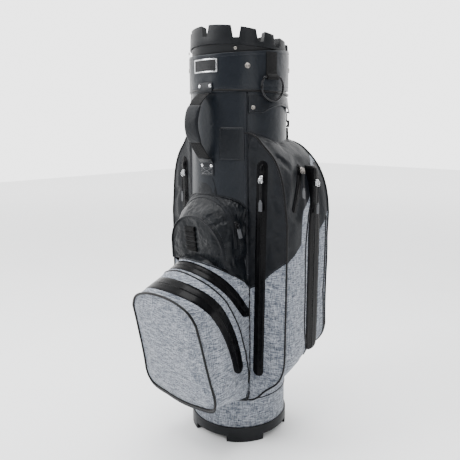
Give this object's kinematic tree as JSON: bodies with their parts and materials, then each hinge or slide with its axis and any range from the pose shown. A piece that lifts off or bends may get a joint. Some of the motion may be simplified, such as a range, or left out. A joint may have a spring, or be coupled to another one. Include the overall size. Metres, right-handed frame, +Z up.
{
  "type": "golf cart bag",
  "caption": "Free-standing golf cart bag with a castellated organiser top, side, valuables and cooler pockets, a grab handle, a towel ring and a back strap.",
  "frame": {"origin": "on the floor, on the bag's axis, at the middle of the moulded base", "axes": "+Z up along the tube, -Y towards the front with the grab handle and cooler pocket, +X to the side with the towel ring"},
  "size_m": [0.3792, 0.385, 0.9198],
  "materials": {
    "leather": "satin grained synthetic leather",
    "heather": "melange woven polyester",
    "nylon": "coated nylon with a slight sheen",
    "webbing": "ribbed webbing",
    "moulded": "fine moulded texture",
    "structure": "extruded sheet",
    "board": "pressed felt",
    "curtain": "smooth brushed polyester",
    "rod": "coated",
    "piping": "smooth",
    "film_tape": "polyurethane film over a coil zip",
    "bright_metal": "polished",
    "dark_metal": "glossy black",
    "plate": "satin",
    "puller": "moulded rubber"
  },
  "bodies": {
    "bag": {"base_boot": "moulded", "base_pad": "board", "body_tube": "structure", "collar": "leather", "collar_piping": "piping", "cooler_pocket": "heather", "cooler_tapes": "film_tape", "cooler_trim": "piping", "divider_curtains": "curtain", "divider_grid": "moulded", "flap_snaps": "bright_metal", "front_panel": "leather", "handle_rivets": "bright_metal", "handle_tabs": "webbing", "hood_snaps": "bright_metal", "ladder_webbing": "webbing", "left_panel": "leather", "left_side_pocket": "heather", "left_zip_tapes": "film_tape", "lower_cover": "heather", "magnet_patch": "leather", "name_plate": "bright_metal", "plate_inlay": "plate", "rear_panel": "leather", "right_panel": "leather", "right_side_pocket": "heather", "right_zip_tapes": "film_tape", "rim_screws": "bright_metal", "side_flaps": "leather", "stay_rods": "rod", "strap_brackets": "dark_metal", "strap_tabs": "leather", "top_rim": "moulded", "towel_strap": "webbing", "valuables_pocket": "nylon", "valuables_tape": "film_tape"},
    "grab_handle": {"handle_webbing": "webbing", "handle_sleeve": "leather"},
    "towel_ring": {"towel_ring": "dark_metal"},
    "shoulder_strap": {"strap_hooks": "dark_metal", "strap_webbing": "webbing", "strap_pad": "nylon"},
    "right_front_slider": {"right_front_slider": "dark_metal"},
    "right_front_puller": {"right_front_puller": "puller"},
    "right_outer_slider": {"right_outer_slider": "dark_metal"},
    "right_outer_puller": {"right_outer_puller": "puller"},
    "right_short_slider": {"right_short_slider": "dark_metal"},
    "right_short_puller": {"right_short_puller": "puller"},
    "left_front_slider": {"left_front_slider": "dark_metal"},
    "left_front_puller": {"left_front_puller": "puller"},
    "left_outer_slider": {"left_outer_slider": "dark_metal"},
    "left_outer_puller": {"left_outer_puller": "puller"},
    "left_short_slider": {"left_short_slider": "dark_metal"},
    "left_short_puller": {"left_short_puller": "puller"},
    "valuables_slider": {"valuables_slider": "dark_metal"},
    "valuables_puller": {"valuables_puller": "puller"},
    "cooler_slider": {"cooler_slider": "dark_metal"},
    "cooler_puller": {"cooler_puller": "puller"}
  },
  "joints": [
    {"name": "handle_swing", "type": "hinge", "parent": "bag", "child": "grab_handle", "pos_m": [0.00401, -0.11473, 0.715], "axis": [0, 0, 1], "range_deg": [-20, 20]},
    {"name": "towel_ring_swing", "type": "hinge", "parent": "bag", "child": "towel_ring", "pos_m": [0.11269, -0.02191, 0.8165], "axis": [-0.1908, -0.9816, 0], "range_deg": [0, 85]},
    {"name": "shoulder_strap_swing", "type": "hinge", "parent": "bag", "child": "shoulder_strap", "pos_m": [0.04966, 0.10649, 0.545], "axis": [0, 0, 1], "range_deg": [-12, 12]},
    {"name": "right_front_zip", "type": "slide", "parent": "bag", "child": "right_front_slider", "axis": [0.0134, 0.0027, -0.9999], "range_m": [0, 0.415]},
    {"name": "right_front_puller_swing", "type": "hinge", "parent": "right_front_slider", "child": "right_front_puller", "pos_m": [0.11859, -0.06794, 0.61], "axis": [-0.9805, -0.1961, -0.0137], "range_deg": [0, 150]},
    {"name": "right_outer_zip", "type": "slide", "parent": "bag", "child": "right_outer_slider", "axis": [0, 0, -1], "range_m": [0, 0.35]},
    {"name": "right_outer_puller_swing", "type": "hinge", "parent": "right_outer_slider", "child": "right_outer_puller", "pos_m": [0.1829, 0.052, 0.598], "axis": [0, -1, 0], "range_deg": [0, 150]},
    {"name": "right_short_zip", "type": "hinge", "parent": "bag", "child": "right_short_slider", "pos_m": [-0.1709, -0.00179, 0.49999], "axis": [0.1031, 0.9004, -0.4228], "range_deg": [0, 13]},
    {"name": "right_short_puller_swing", "type": "hinge", "parent": "right_short_slider", "child": "right_short_puller", "pos_m": [0.16544, 0.01919, 0.6267], "axis": [-0.1031, -0.9004, 0.4228], "range_deg": [0, 150]},
    {"name": "left_front_zip", "type": "slide", "parent": "bag", "child": "left_front_slider", "axis": [-0.0134, 0.0027, -0.9999], "range_m": [0, 0.415]},
    {"name": "left_front_puller_swing", "type": "hinge", "parent": "left_front_slider", "child": "left_front_puller", "pos_m": [-0.11859, -0.06794, 0.61], "axis": [-0.9805, 0.1961, 0.0137], "range_deg": [0, 150]},
    {"name": "left_outer_zip", "type": "slide", "parent": "bag", "child": "left_outer_slider", "axis": [0, 0, -1], "range_m": [0, 0.35]},
    {"name": "left_outer_puller_swing", "type": "hinge", "parent": "left_outer_slider", "child": "left_outer_puller", "pos_m": [-0.1829, 0.052, 0.598], "axis": [0, 1, 0], "range_deg": [0, 150]},
    {"name": "left_short_zip", "type": "hinge", "parent": "bag", "child": "left_short_slider", "pos_m": [0.1709, -0.00179, 0.49999], "axis": [0.1031, -0.9004, 0.4228], "range_deg": [0, 13]},
    {"name": "left_short_puller_swing", "type": "hinge", "parent": "left_short_slider", "child": "left_short_puller", "pos_m": [-0.16544, 0.01919, 0.6267], "axis": [-0.1031, 0.9004, -0.4228], "range_deg": [0, 150]},
    {"name": "valuables_zip", "type": "hinge", "parent": "bag", "child": "valuables_slider", "pos_m": [0, -0.1028, 0.4924], "axis": [0, -0.9976, -0.0698], "range_deg": [0, 30]},
    {"name": "valuables_puller_swing", "type": "hinge", "parent": "valuables_slider", "child": "valuables_puller", "pos_m": [0.08843, -0.1047, 0.51596], "axis": [-0.2622, -0.9552, -0.1371], "range_deg": [0, 150]},
    {"name": "cooler_zip", "type": "slide", "parent": "bag", "child": "cooler_slider", "axis": [-0.0518, -0.647, 0.7608], "range_m": [0, 0.045]},
    {"name": "cooler_puller_swing", "type": "hinge", "parent": "cooler_slider", "child": "cooler_puller", "pos_m": [-0.09918, -0.09847, 0.342], "axis": [0.0607, 0.7583, 0.649], "range_deg": [0, 150]}
  ]
}
